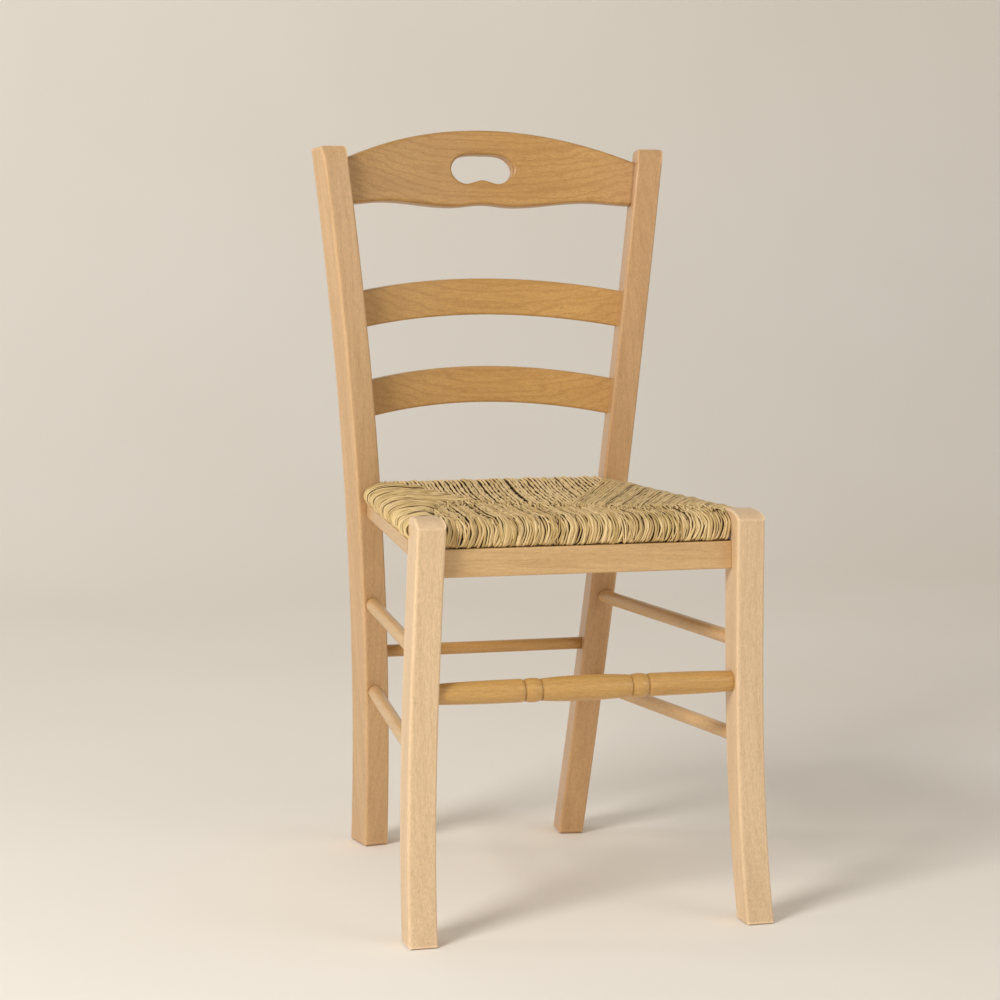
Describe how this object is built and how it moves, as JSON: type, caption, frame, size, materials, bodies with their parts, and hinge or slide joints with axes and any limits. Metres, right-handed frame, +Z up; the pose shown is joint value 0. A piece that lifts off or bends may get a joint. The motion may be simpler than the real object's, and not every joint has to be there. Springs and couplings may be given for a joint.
{
  "type": "wooden dining chair with a rush seat",
  "caption": "Beech dining chair with a ladder back, a crest rail with a hand grip, sabre front legs, turned and plain stretchers and a woven rush seat.",
  "frame": {"origin": "middle of the chair's plan on the floor, under the middle of its bounding box", "axes": "+Z up, -Y towards the front of the seat, +X to the right of someone facing the chair"},
  "size_m": [0.4376, 0.5204, 0.8851],
  "materials": {
    "frame_beech": "satin",
    "back_beech": "satin",
    "rail_beech": "matte",
    "rush": "matte"
  },
  "bodies": {
    "root": {"rear_leg_left": "frame_beech", "rear_leg_right": "frame_beech", "front_leg_left": "frame_beech", "front_leg_right": "frame_beech", "front_apron": "frame_beech", "rear_apron": "frame_beech", "left_apron": "frame_beech", "right_apron": "frame_beech", "front_stretcher": "frame_beech", "rear_stretcher": "frame_beech", "left_upper_stretcher": "frame_beech", "left_lower_stretcher": "frame_beech", "right_upper_stretcher": "frame_beech", "right_lower_stretcher": "frame_beech", "tenon_pins": "frame_beech", "crest_rail": "back_beech", "upper_slat": "back_beech", "lower_slat": "back_beech", "seat_front_rail": "rail_beech", "seat_rear_rail": "rail_beech", "seat_left_rail": "rail_beech", "seat_right_rail": "rail_beech", "rush_front": "rush", "rush_rear": "rush", "rush_left": "rush", "rush_right": "rush", "rush_stuffing": "rush"}
  },
  "joints": []
}
